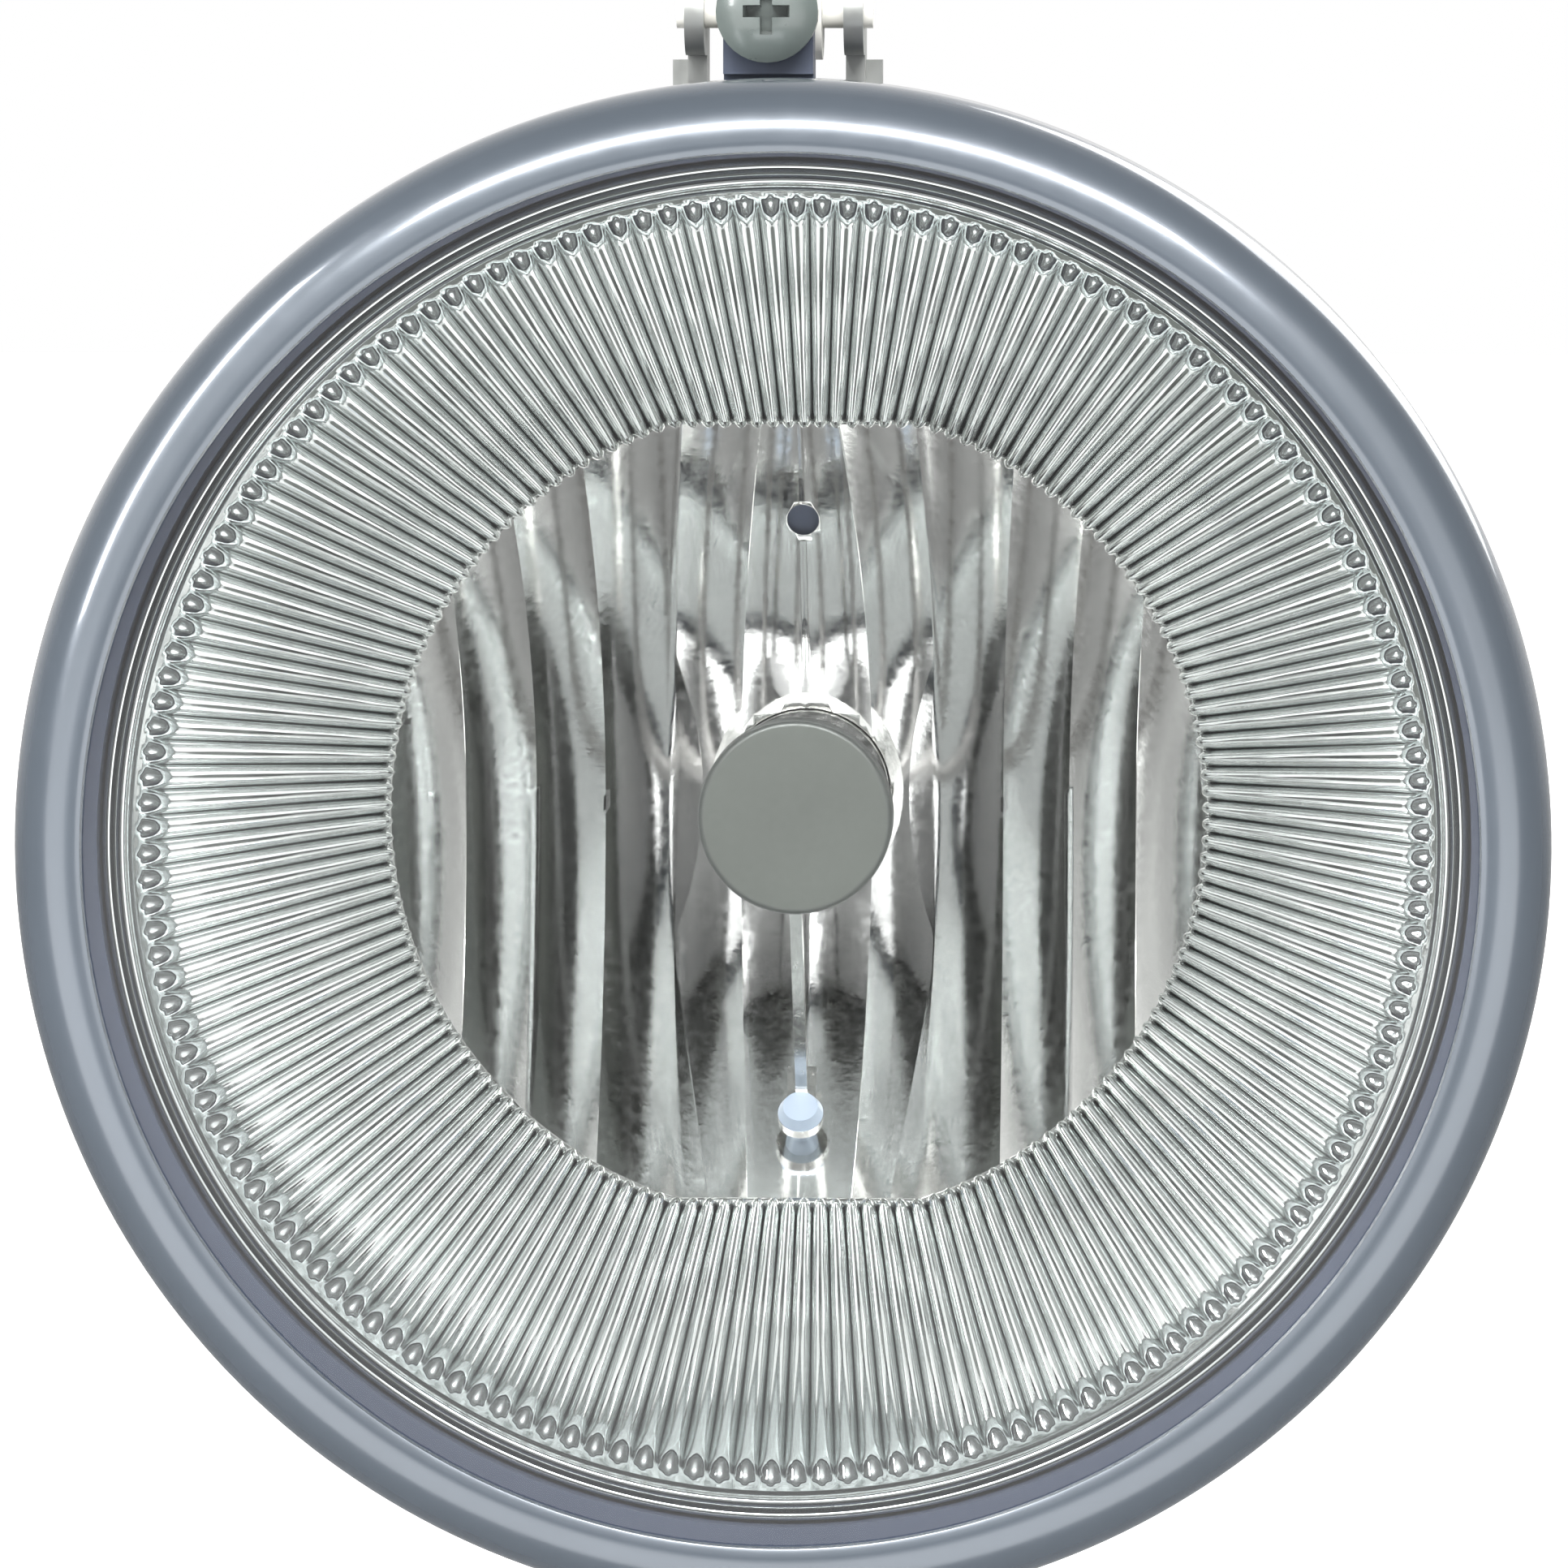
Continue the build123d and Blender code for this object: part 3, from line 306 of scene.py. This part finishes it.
# ---- Lens ----
def build_lens():
    """The clear dome with its grey bead and skirt, one closed turned shell."""
    wall, skirt_wall = mm(2.5), mm(2.6)
    dome = mm(187.0)
    bead_width, bead_step, shoulder = mm(4.8), mm(0.5), mm(4.3)
    front = lens_low.y
    bead_start = lens_radius - bead_width
    inner_shoulder = shoulder - skirt_wall

    def dome_y(radius, front_y, dome_radius):
        return front_y + dome_radius - math.sqrt(dome_radius**2 - radius**2)

    outer = []
    steps = 40
    for step in range(steps + 1):
        radius = bead_start * step / steps
        outer.append((max(radius, mm(0.001)), dome_y(radius, front, dome)))
    bead_front = dome_y(bead_start, front, dome) - bead_step
    outer.append((bead_start + bead_step / 4, bead_front + bead_step / 3))
    centre = (lens_radius - shoulder, bead_front + shoulder)
    bead = arc(centre, shoulder, -90, 0, 18)
    skirt = [(lens_radius, lens_high.y - mm(1.2)), (lens_radius - mm(0.25), lens_high.y - mm(0.9))]
    skirt += [(lens_radius - mm(0.25), lens_high.y), (lens_radius - skirt_wall, lens_high.y)]
    inner = []
    inner_edge = lens_radius - skirt_wall - inner_shoulder
    inner_front = front + wall
    corner = (inner_edge, dome_y(inner_edge, inner_front, dome - wall) + inner_shoulder)
    inner += arc(corner, inner_shoulder, 0, -90, 6)
    for step in range(steps):
        radius = inner_edge * (1 - (step + 1) / steps)
        inner.append((max(radius, mm(0.001)), dome_y(radius, inner_front, dome - wall)))
    mesh = lathe("lens_piece", outer + bead + skirt + inner, steps=256, crease=28)
    piece = new_object("lens_piece", mesh, (lens_clear, rim_plastic), "lamp", ["lens"])
    for face in mesh.polygons:
        middle = face.center
        radius = math.hypot(middle.x, middle.z)
        on_bead = radius > bead_start and middle.y < lens_high.y
        face.material_index = 1 if on_bead else 0
    return piece


# ---- Bezel ----
FLUTES = 156
APERTURE_RADIUS = mm(27.75)


def build_bezel():
    """A fluted cone whose aperture is cut flat at its top and bottom, with stepped rings outside."""
    wall = mm(1.2)
    ring_step = mm(0.7)
    outer_radius = bezel_high.x
    flute_radius = outer_radius - mm(2.05)
    half_height = mm(26.45)
    mouth_y = bezel_high.y
    aperture_y = mouth_y - wall
    front_y = bezel_low.y + ring_step
    swell = mm(0.75)
    end_length = 0.045
    last_share = 0.965
    samples = 12
    columns = FLUTES * samples
    rows = 32
    run = Vector((flute_radius - APERTURE_RADIUS, front_y - aperture_y)).normalized()
    lift = Vector((-abs(run.y), -run.x))
    points, faces = [], []
    for column in range(columns):
        angle = TURN * column / columns
        across = (column % samples) / samples * 2 - 1
        rise = abs(math.sin(angle))
        inner = min(APERTURE_RADIUS, half_height / rise) if rise > 0.5 else APERTURE_RADIUS
        profile = []
        for row in range(rows + 1):
            share = 0.5 - 0.5 * math.cos(math.pi * row / rows)
            from_end = min(share, last_share - share) / end_length
            ending = max(0.0, 1 - from_end)
            height = swell * math.sqrt(max(0.0, 1 - across**2 - ending**2))
            radius = inner + (flute_radius - inner) * share + lift.x * height
            profile.append((radius, aperture_y + (front_y - aperture_y) * share + lift.y * height))
        profile.append((flute_radius + ring_step * 0.3, front_y - ring_step * 0.15))
        bead = (flute_radius + ring_step, front_y - ring_step * 0.45)
        profile += arc(bead, ring_step * 0.5, -170, -10, 6)
        profile.append((flute_radius + ring_step * 1.7, front_y))
        profile += arc((flute_radius + ring_step * 2.3, front_y), ring_step * 0.42, -150, -20, 5)
        profile.append((outer_radius, front_y + ring_step * 0.65))
        profile.append((outer_radius, front_y + wall + mm(0.2)))
        profile.append((flute_radius + wall, front_y + wall + mm(0.2)))
        profile.append((inner + wall, mouth_y))
        profile.append((inner, mouth_y))
        for radius, along in profile:
            points.append((radius * math.cos(angle), along, radius * math.sin(angle)))
    count = len(points) // columns
    for column in range(columns):
        here, there = column * count, (column + 1) % columns * count
        for row in range(count):
            following = (row + 1) % count
            faces.append((here + row, there + row, there + following, here + following))
    mesh = mesh_of("bezel_piece", points, faces, crease=50)
    return new_object("bezel_piece", mesh, chrome, "lamp", ["fluted_bezel"])


# ---- Reflector ----
STRIPS = 12
STRIP_PITCH = mm(4.6)
REFLECTOR_FOCUS = mm(13.0)
REFLECTOR_MARGIN = mm(0.45)
INNER_STRIPS = (STRIPS // 2 - 2, STRIPS // 2 + 2)


class Reflector:
    """Twelve upright strips on a paraboloid.  The middle four are set back behind facets."""

    wall = mm(1.6)
    set_back = mm(1.5)
    bulge = 0.022 / mm(1)
    top_lean = {1: -0.50, 2: -0.14, 3: 0.09, 4: 0.11, 5: 0.09}
    bottom_lean = {1: -0.25, 2: -0.12}
    steps, facet_steps, rows = 12, 4, 110

    def __init__(self):
        self.mouth_y = reflector_low.y
        self.mouth = APERTURE_RADIUS + REFLECTOR_MARGIN
        self.apex_y = self.mouth_y + self.mouth**2 / (4 * REFLECTOR_FOCUS)
        self.edges = [STRIP_PITCH * index for index in range(-STRIPS // 2, STRIPS // 2 + 1)]
        self.edges[0], self.edges[-1] = -self.mouth, self.mouth
        self.points, self.faces = [], []

    def edge_x(self, index, height):
        lean = (self.top_lean if height > 0 else self.bottom_lean).get(abs(index - STRIPS // 2), 0)
        return self.edges[index] * (1 + lean * (height / self.mouth) ** 2)

    def facet_width(self, height):
        """The facet beside the middle strips: a lens shape at mid-height and a wedge at the bottom."""
        lens = mm(1.9) * max(0.0, 1 - (height / mm(9.5)) ** 2)
        wedge = mm(1.8) * min(1.0, max(0.0, (-height - mm(12)) / mm(14)))
        return mm(0.10) + lens + wedge

    def strip_y(self, index, across, height):
        middle = (self.edge_x(index, height) + self.edge_x(index + 1, height)) / 2
        base = self.apex_y - (middle**2 + height**2) / (4 * REFLECTOR_FOCUS)
        away = across - middle
        depth = base - middle / (2 * REFLECTOR_FOCUS) * away + self.bulge * away**2
        return depth + (self.set_back if INNER_STRIPS[0] <= index < INNER_STRIPS[1] else 0.0)

    def strip(self, index):
        """A strip's edges and depth, each as a function of height."""

        def left(height):
            inset = self.facet_width(height) if index == INNER_STRIPS[0] else 0.0
            return self.edge_x(index, height) + inset

        def right(height):
            inset = self.facet_width(height) if index + 1 == INNER_STRIPS[1] else 0.0
            return self.edge_x(index + 1, height) - inset

        return left, right, lambda across, height: self.strip_y(index, across, height), self.steps

    def facet(self, boundary):
        """The facet between a middle strip and the strip outside it."""
        outer_strip = boundary - 1 if boundary == INNER_STRIPS[0] else boundary
        sign = 1 if boundary == INNER_STRIPS[0] else -1
        slope = abs(self.edges[boundary]) / (2 * REFLECTOR_FOCUS)

        def start(height):
            return self.edge_x(boundary, height)

        def end(height):
            return self.edge_x(boundary, height) + sign * self.facet_width(height)

        def depth(across, height):
            edge = self.edge_x(boundary, height)
            return self.strip_y(outer_strip, edge, height) + slope * abs(across - edge)

        if sign > 0:
            return start, end, depth, self.facet_steps
        return end, start, depth, self.facet_steps

    def columns(self):
        found = []
        for index in range(STRIPS):
            if index in INNER_STRIPS:
                found.append(self.facet(index))
            found.append(self.strip(index))
        return found

    def height_at(self, share, guess):
        return share * math.sqrt(max(0.0, self.mouth**2 - min(abs(guess), self.mouth) ** 2))

    def grid(self, column, thickness):
        """One column's points, in rows from bottom to top, each row from left to right."""
        left, right, depth, steps = column
        start = len(self.points)
        for row in range(self.rows + 1):
            share = math.sin(math.pi * (row / self.rows - 0.5))
            for step in range(steps + 1):
                across = left(0) + (right(0) - left(0)) * step / steps
                for _ in range(3):
                    height = self.height_at(share, across)
                    across = left(height) + (right(height) - left(height)) * step / steps
                y = max(depth(across, height), self.mouth_y) + thickness
                self.points.append((across, y, height))
        return start

    def skin(self, columns, thickness):
        """The front or back face of the whole reflector, and the step walls between its columns."""
        starts = [self.grid(column, thickness) for column in columns]
        turned = thickness > 0
        for number, (start, column) in enumerate(zip(starts, columns)):
            steps = column[3]
            width = steps + 1
            for row in range(self.rows):
                for step in range(steps):
                    corner = start + row * width + step
                    face = (corner, corner + 1, corner + width + 1, corner + width)
                    self.faces.append(face[::-1] if turned else face)
            if number + 1 == len(starts):
                continue
            other_width = columns[number + 1][3] + 1
            for row in range(self.rows):
                lower = start + row * width + steps
                other = starts[number + 1] + row * other_width
                self.faces.append((lower, other, other + other_width, lower + width))
        return starts

    def build(self):
        columns = self.columns()
        fronts = self.skin(columns, 0.0)
        backs = self.skin(columns, self.wall)
        for front, back, column in zip(fronts, backs, columns):
            width = column[3] + 1
            for row in (0, self.rows):
                for step in range(column[3]):
                    here = front + row * width + step
                    there = back + row * width + step
                    self.faces.append((here, here + 1, there + 1, there))
        mesh = bpy.data.meshes.new("reflector_piece")
        mesh.from_pydata(self.points, [], self.faces)
        clean(mesh)
        shade_by_angle(mesh, 24)
        return new_object("reflector_piece", mesh, mirror_metal, "lamp", ["reflector"])


def cut_hole(piece, radius, height, low, high):
    """Cuts a round hole along Y through a piece."""
    profile = [(mm(0.0001), low), (radius, low), (radius, high), (mm(0.0001), high)]
    cutter = bpy.data.objects.new("cutter", lathe("cutter", profile, steps=64, origin=(0, 0, height)))
    subtract(piece, cutter)


def subtract(piece, cutter):
    """Takes a cutter's shape out of a piece, and deletes the cutter."""
    bpy.context.scene.collection.objects.link(cutter)
    modifier = piece.modifiers.new("cut", "BOOLEAN")
    modifier.operation = "DIFFERENCE"
    modifier.solver = "EXACT"
    modifier.object = cutter
    graph = bpy.context.evaluated_depsgraph_get()
    shaped = bpy.data.meshes.new_from_object(piece.evaluated_get(graph))
    piece.modifiers.clear()
    piece.data = shaped
    bpy.data.objects.remove(cutter)


# ---- Threads ----
def threaded_rod(name, profile, radius, pitch, start, end, origin, depth=mm(0.3)):
    """A turned rod along Y, with a screw thread cut into its radius from start to end."""
    steps = 36
    rows_per_turn = 8
    rows = int((end - start) / pitch * rows_per_turn)
    first = next(index for index, (_, along) in enumerate(profile) if along >= start)
    thread = [(radius, start + (end - start) * row / rows) for row in range(1, rows)]
    rod = profile[:first] + thread + profile[first:]
    points, faces = [], []
    for step in range(steps):
        angle = TURN * step / steps
        for at, along in rod:
            if start < along < end and at == radius:
                phase = (along / pitch + step / steps) % 1
                fade = min(1.0, (along - start) / pitch, (end - along) / pitch)
                at = radius - depth * fade * abs(2 * phase - 1)
            points.append((origin[0] + at * math.cos(angle), origin[1] + along,
                           origin[2] + at * math.sin(angle)))
    count = len(rod)
    for step in range(steps):
        here, there = step * count, (step + 1) % steps * count
        for row in range(count):
            following = (row + 1) % count
            faces.append((here + row, there + row, there + following, here + following))
    return mesh_of(name, points, faces, crease=40)


def joined(name, meshes):
    """Several meshes as one."""
    whole = bmesh.new()
    for mesh in meshes:
        whole.from_mesh(mesh)
    result = bpy.data.meshes.new(name)
    whole.to_mesh(result)
    whole.free()
    shade_by_angle(result, 40)
    return result


def build_studs():
    """The four mounting studs, each with its head behind the sheet and its thread behind the face."""
    sheet, head_height = mm(1.8), mm(0.8)
    radius, head_radius, knurl, chamfer = mm(2.5), mm(3.6), mm(0.4), mm(0.6)
    circle = stud_high.x - head_radius
    profile = [(mm(0.001), -sheet - head_height), (head_radius - mm(0.3), -sheet - head_height)]
    profile += [(head_radius, -sheet - head_height + mm(0.3)), (head_radius, -sheet)]
    profile += [(radius + knurl, -sheet), (radius + knurl, 0.0), (radius, 0.0), (radius, mm(1.0))]
    profile += [(radius, stud_high.y - chamfer), (radius - chamfer, stud_high.y), (mm(0.001), stud_high.y)]
    meshes = [
        threaded_rod("stud", profile, radius, mm(0.8), mm(1.0), stud_high.y - chamfer, (x, 0, z))
        for x in (-circle, circle) for z in (-circle, circle)
    ]
    new_object("stud_set", joined("stud_set", meshes), zinc, "bracket",
               ["mounting_studs"])


def build_adjuster_screw():
    """The adjusting screw: a domed head with a cross recess, a plain neck and a threaded shank."""
    front, end = screw_low.y, screw_high.y
    head, dome, head_height = screw_high.x - adjuster_x, mm(1.3), mm(2.9)
    neck, bed, radius, point = mm(1.9), mm(1.6), mm(2.0), mm(1.0)
    clip_low, clip_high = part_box("adjuster_clip")
    dome_radius = (head**2 + dome**2) / (2 * dome)
    profile = []
    for step in range(13):
        at = head * step / 12
        profile.append((max(at, mm(0.001)), front + dome_radius - math.sqrt(dome_radius**2 - at**2)))
    profile += [(head, front + head_height), (neck, front + head_height), (neck, clip_low.y)]
    profile += [(bed, clip_low.y), (bed, clip_high.y)]
    profile += [(radius, clip_high.y), (radius, clip_high.y + mm(0.6))]
    profile += [(radius, end - point), (radius - point, end), (mm(0.001), end)]
    mesh = threaded_rod("screw_piece", profile, radius, mm(0.7), clip_high.y + mm(0.6), end - point,
                        (adjuster_x, 0, adjuster_z), depth=mm(0.25))
    piece = new_object("screw_piece", mesh, screw_plastic, "screw", ["adjuster_screw"])
    for length, width in ((mm(3.7), mm(0.95)), (mm(0.95), mm(3.7))):
        cutter_mesh = bpy.data.meshes.new("cutter")
        shape = bmesh.new()
        bmesh.ops.create_cube(shape, size=1.0)
        for vertex in shape.verts:
            taper = 1.0 if vertex.co.y < 0 else 0.7
            vertex.co.x = adjuster_x + vertex.co.x * length * taper
            vertex.co.z = adjuster_z + vertex.co.z * width * taper
            vertex.co.y = front + vertex.co.y * mm(3.0)
        shape.to_mesh(cutter_mesh)
        shape.free()
        subtract(piece, bpy.data.objects.new("cutter", cutter_mesh))
    shade_by_angle(piece.data, 40)


def build_filament():
    """A wound tungsten coil between the two lead wires."""
    centre = (filament_low + filament_high) / 2
    wire, coil, turns, sides, steps = mm(0.11), mm(0.45), 9, 8, 260
    points, faces = [], []
    for step in range(steps + 1):
        angle = TURN * turns * step / steps
        x = filament_low.x + (filament_high.x - filament_low.x) * step / steps
        for side in range(sides):
            around = TURN * side / sides
            reach = coil + wire * math.cos(around)
            points.append((x + wire * math.sin(around), centre.y + reach * math.cos(angle),
                           centre.z + reach * math.sin(angle)))
    for step in range(steps):
        for side in range(sides):
            other = (side + 1) % sides
            faces.append((step * sides + side, step * sides + other,
                          (step + 1) * sides + other, (step + 1) * sides + side))
    faces.append(tuple(range(sides)))
    faces.append(tuple(range(steps * sides, (steps + 1) * sides)))
    mesh = mesh_of("filament_piece", points, faces, crease=60)
    new_object("filament_piece", mesh, tungsten, "bulb", ["bulb_filament"])


# ---- Bulb shield and bulb ----
def build_cap():
    """The cup over the bulb's tip, with a rounded edge."""
    radius = cap_high.x
    corner, sheet = mm(0.45), mm(0.45)
    profile = [(mm(0.001), cap_low.y + mm(0.04)), (radius * 0.6, cap_low.y + mm(0.015))]
    profile += arc((radius - corner, cap_low.y + corner), corner, -90, 0, 8)
    profile += [(radius, cap_high.y), (radius - sheet, cap_high.y)]
    profile += [(radius - sheet, cap_low.y + corner), (mm(0.001), cap_low.y + corner)]
    mesh = lathe("cap_piece", profile, steps=128)
    for face in mesh.polygons:
        at = math.hypot(face.center.x, face.center.z)
        face.material_index = 1 if at > radius - corner * 0.75 else 0
    new_object("cap_piece", mesh, (cap_metal, cap_edge), "lamp", ["shield_cap"])


def build_glass():
    radius, wall, pinch = glass_high.x, mm(0.8), mm(3.0)
    profile = [(mm(0.001), glass_high.y), (radius, glass_high.y)]
    profile += arc((0, glass_low.y + radius), radius, 0, -89.9, 12)
    profile += arc((0, glass_low.y + radius), radius - wall, -89.9, 0, 12)
    profile += [(radius - wall, glass_high.y - pinch), (mm(0.001), glass_high.y - pinch)]
    new_object("glass_piece", lathe("glass_piece", profile, steps=64), quartz_clear, "bulb",
               ["bulb_glass"])


# ---- Build ----
build_lens()
build_bezel()
reflector_piece = Reflector().build()
past_back = reflector_high.y + mm(5)
bulb_hole_radius = mm(5.9)
sight_hole_radius, sight_hole_height = mm(1.1), mm(19.4)
cut_hole(reflector_piece, bulb_hole_radius, 0, reflector_low.y, past_back)
cut_hole(reflector_piece, sight_hole_radius, sight_hole_height, reflector_low.y - mm(1), past_back)
build_cap()
build_glass()
build_filament()
build_studs()
build_adjuster_screw()

# ---- Carried-over nodes ----
finishes = {
    "lens_seal": sealant,
    "housing": collar_plastic,
    "vent_elbow": black_rubber,
    "shield_strap": bright_metal,
    "shield_rivet": pale_peg,
    "bulb_base": base_plastic,
    "bulb_terminals": brass,
    "bulb_seal": silicone,
    "bulb_collar": bright_metal,
    "bulb_lead_wires": tungsten,
    "mounting_bracket": galvanised,
    "pivot_bush_left": nylon,
    "pivot_bush_right": nylon,
    "pivot_screw_left": zinc,
    "pivot_screw_right": zinc,
    "adjuster_washer": zinc,
    "adjuster_clip": zinc,
    "adjuster_nut": nylon,
}
for node, finish in finishes.items():
    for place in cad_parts[node].material_slots:
        place.material = finish


# ---- World, floor and lights ----
# Levels of light against the angle from the way the lamp faces, in degrees.
ABOVE = ((0, 0.60), (12, 0.75), (20, 1.0), (28, 1.7), (52, 1.6),
         (60, 0.5), (72, 0.06), (100, 0.15), (130, 0.8), (180, 1.0))
BELOW = ((0, 0.25), (14, 0.25), (20, 0.5), (26, 2.8), (56, 2.8),
         (62, 0.3), (72, 0.05), (100, 0.10), (130, 0.2), (180, 0.4))


def level_by_angle(tree, share, levels):
    """A grey level from a list of (angle, level).  Share is half of one minus the angle's cosine."""
    node = tree.nodes.new("ShaderNodeValToRGB")
    elements = node.color_ramp.elements
    elements[0].color = (levels[0][1], levels[0][1], levels[0][1], 1)
    elements[1].color = (levels[-1][1], levels[-1][1], levels[-1][1], 1)
    for degrees, level in levels[1:-1]:
        element = elements.new((1 - math.cos(math.radians(degrees))) / 2)
        element.color = (level, level, level, 1)
    tree.links.new(share, node.inputs["Fac"])
    return node.outputs["Color"]


def build_world():
    """Studio surroundings with a level for each direction, fixed to the lamp.  Camera rays see white."""
    world = bpy.data.worlds.new("studio")
    bpy.context.scene.world = world
    world.use_nodes = True
    tree = world.node_tree
    nodes, links = tree.nodes, tree.links
    nodes.clear()
    output = nodes.new("ShaderNodeOutputWorld")
    around = nodes.new("ShaderNodeBackground")
    behind = nodes.new("ShaderNodeBackground")
    behind.inputs["Color"].default_value = (1, 1, 1, 1)
    place = nodes.new("ShaderNodeTexCoord")
    split = nodes.new("ShaderNodeSeparateXYZ")
    links.new(place.outputs["Generated"], split.inputs["Vector"])
    share = map_range(tree, split.outputs["Y"], -1.0, 1.0, 0.0, 1.0)
    upper = map_range(tree, split.outputs["Z"], -0.15, 0.15, 0.0, 1.0, smooth=True)
    mix = nodes.new("ShaderNodeMix")
    mix.data_type = "RGBA"
    links.new(upper, mix.inputs["Factor"])
    links.new(level_by_angle(tree, share, BELOW), mix.inputs["A"])
    links.new(level_by_angle(tree, share, ABOVE), mix.inputs["B"])
    links.new(mix.outputs["Result"], around.inputs["Color"])
    path = nodes.new("ShaderNodeLightPath")
    choose = nodes.new("ShaderNodeMixShader")
    links.new(path.outputs["Is Camera Ray"], choose.inputs["Fac"])
    links.new(around.outputs["Background"], choose.inputs[1])
    links.new(behind.outputs["Background"], choose.inputs[2])
    links.new(choose.outputs["Shader"], output.inputs["Surface"])


def build_floor():
    """A plain pale floor well below the lamp.  It glows a little and stays out of reflections."""
    floor_z = cad_low.z - mm(60)
    size = 4.0
    corners = [(-size, -size, floor_z), (size, -size, floor_z), (size, size, floor_z),
               (-size, size, floor_z)]
    mesh = bpy.data.meshes.new("floor")
    mesh.from_pydata(corners, [], [(0, 1, 2, 3)])
    floor = bpy.data.objects.new("floor", mesh)
    bpy.context.scene.collection.objects.link(floor)
    floor.visible_glossy = False
    material, shader = principled("floor_pale", (0.93, 0.93, 0.93), 0.9)
    shader.inputs["Specular IOR Level"].default_value = 0.0
    shader.inputs["Emission Color"].default_value = (1, 1, 1, 1)
    shader.inputs["Emission Strength"].default_value = 0.75
    mesh.materials.append(material)


def area_light(name, place, target, size, power):
    data = bpy.data.lights.new(name, "AREA")
    data.shape = "RECTANGLE"
    data.size, data.size_y = size
    data.energy = power
    light = bpy.data.objects.new(name, data)
    light.location = place
    light.rotation_mode = "QUATERNION"
    light.rotation_quaternion = (Vector(target) - Vector(place)).to_track_quat("-Z", "Y")
    bpy.context.scene.collection.objects.link(light)


build_world()
build_floor()
area_light("key", (0.0, -0.80, 0.62), (0, 0, 0), (0.90, 0.16), 20)
area_light("left_strip", (-0.70, -0.45, 0.40), (0, 0, 0), (0.12, 0.5), 5)
area_light("back_fill", (0.5, 0.7, 0.5), (0, 0, 0), (0.6, 0.6), 6)

# ---- Camera: a little above the lamp and a little to its right ----
azimuth, elevation = math.radians(2.3), math.radians(4.7)
level = math.cos(elevation)
back = Vector((math.sin(azimuth) * level, -math.cos(azimuth) * level, math.sin(elevation)))
right = Vector((math.cos(azimuth), math.sin(azimuth), 0))
up = back.cross(right)
camera_data = bpy.data.cameras.new("camera")
camera_data.sensor_width = 36
distance = 0.600
frame_width = mm(102.5)
camera_data.lens = distance * camera_data.sensor_width / frame_width
camera = bpy.data.objects.new("camera", camera_data)
aim_up, aim_right = mm(3.97), mm(0.08)
target = Vector((0, rim_y, 0)) + up * aim_up + right * aim_right
camera.location = target + back * distance
camera.rotation_mode = "QUATERNION"
camera.rotation_quaternion = (-back).to_track_quat("-Z", "Y")
bpy.context.scene.collection.objects.link(camera)
bpy.context.scene.camera = camera
bpy.context.scene.view_settings.view_transform = "Standard"
